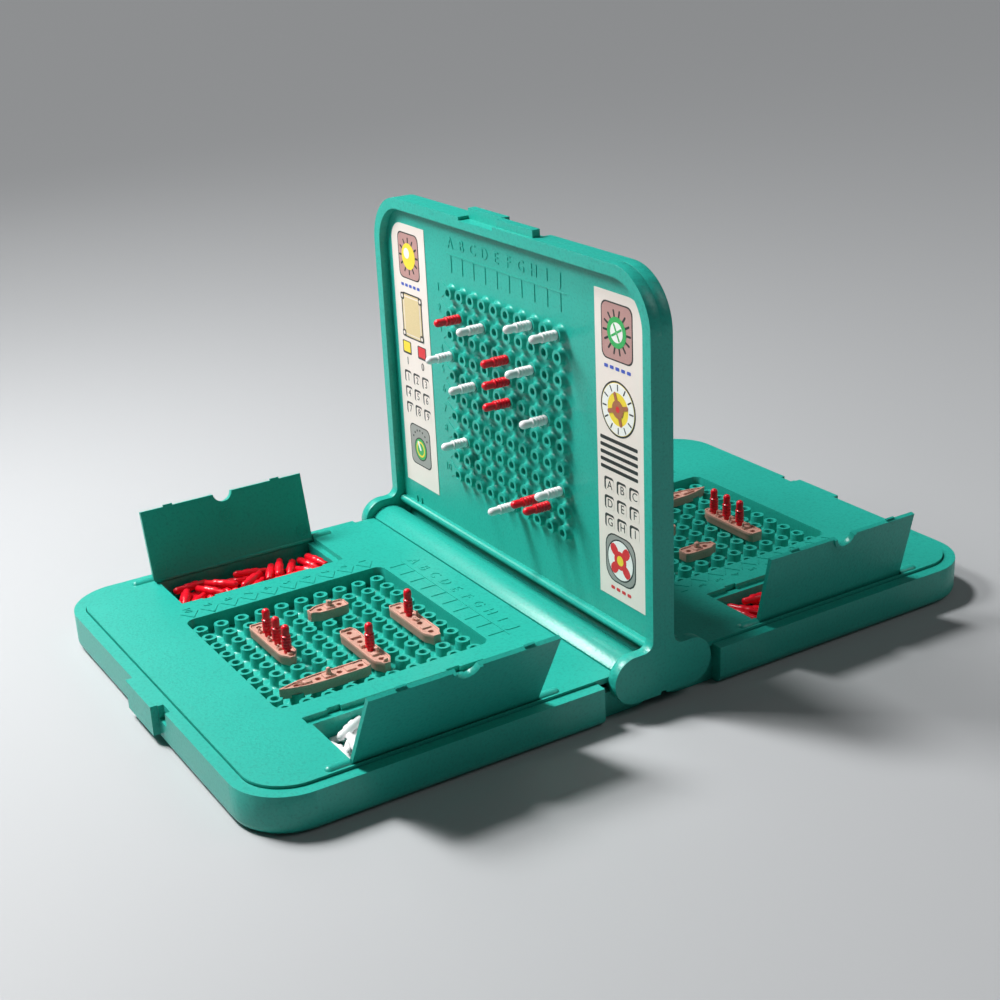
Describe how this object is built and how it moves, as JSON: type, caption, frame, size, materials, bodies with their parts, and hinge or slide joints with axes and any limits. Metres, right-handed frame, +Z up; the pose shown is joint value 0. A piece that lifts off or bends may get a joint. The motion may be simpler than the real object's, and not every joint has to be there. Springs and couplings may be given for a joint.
{
  "type": "fleet guessing case",
  "caption": "Travel case for a fleet guessing game: an upright leaf with a peg grid on each side between two trays that fold up against it.",
  "frame": {"origin": "centre of the footprint on the table, under the leaf", "axes": "+X along the fold axes, +Y from the front player to the back player, +Z up"},
  "size_m": [0.1616, 0.244, 0.1222],
  "materials": {
    "case_plastic": "satin, fine grain",
    "label_print": "printed sticker, satin",
    "ship_plastic": "satin",
    "hit_peg": "semi-gloss",
    "miss_peg": "semi-gloss"
  },
  "bodies": {
    "leaf": {"front_grid_panel": "case_plastic", "back_grid_panel": "case_plastic", "front_left_label": "label_print", "front_right_label": "label_print", "back_left_label": "label_print", "back_right_label": "label_print"},
    "front_tray": {"front_tray_base": "case_plastic", "front_tray_deck": "case_plastic", "front_hit_pegs": "hit_peg", "front_miss_pegs": "miss_peg", "front_carrier": "ship_plastic", "front_cruiser": "ship_plastic", "front_frigate": "ship_plastic", "front_destroyer": "ship_plastic", "front_patrol_boat": "ship_plastic"},
    "front_hit_lid": {"front_hit_lid": "case_plastic"},
    "front_miss_lid": {"front_miss_lid": "case_plastic"},
    "back_tray": {"back_tray_base": "case_plastic", "back_tray_deck": "case_plastic", "back_hit_pegs": "hit_peg", "back_miss_pegs": "miss_peg", "back_carrier": "ship_plastic", "back_cruiser": "ship_plastic", "back_frigate": "ship_plastic", "back_destroyer": "ship_plastic", "back_patrol_boat": "ship_plastic"},
    "back_hit_lid": {"back_hit_lid": "case_plastic"},
    "back_miss_lid": {"back_miss_lid": "case_plastic"}
  },
  "joints": [
    {"name": "front_fold", "type": "hinge", "parent": "leaf", "child": "front_tray", "pos_m": [0, -0.0075, 0.0075], "axis": [-1, 0, 0], "range_deg": [0, 90]},
    {"name": "front_hit_lid_hinge", "type": "hinge", "parent": "front_tray", "child": "front_hit_lid", "pos_m": [-0.0672, -0.065, 0.01125], "axis": [0, 1, 0], "range_deg": [0, 103]},
    {"name": "front_miss_lid_hinge", "type": "hinge", "parent": "front_tray", "child": "front_miss_lid", "pos_m": [0.0672, -0.065, 0.01125], "axis": [0, -1, 0], "range_deg": [0, 118]},
    {"name": "back_fold", "type": "hinge", "parent": "leaf", "child": "back_tray", "pos_m": [0, 0.0075, 0.0075], "axis": [1, 0, 0], "range_deg": [0, 90]},
    {"name": "back_hit_lid_hinge", "type": "hinge", "parent": "back_tray", "child": "back_hit_lid", "pos_m": [0.0672, 0.065, 0.01125], "axis": [0, -1, 0], "range_deg": [0, 103]},
    {"name": "back_miss_lid_hinge", "type": "hinge", "parent": "back_tray", "child": "back_miss_lid", "pos_m": [-0.0672, 0.065, 0.01125], "axis": [0, 1, 0], "range_deg": [0, 118]}
  ],
  "couplings": [
    {"joint": "front_hit_lid_hinge", "follows": "front_fold", "ratio": 1.1444},
    {"joint": "front_miss_lid_hinge", "follows": "front_fold", "ratio": 1.3111},
    {"joint": "back_hit_lid_hinge", "follows": "back_fold", "ratio": 1.1444},
    {"joint": "back_miss_lid_hinge", "follows": "back_fold", "ratio": 1.3111}
  ]
}
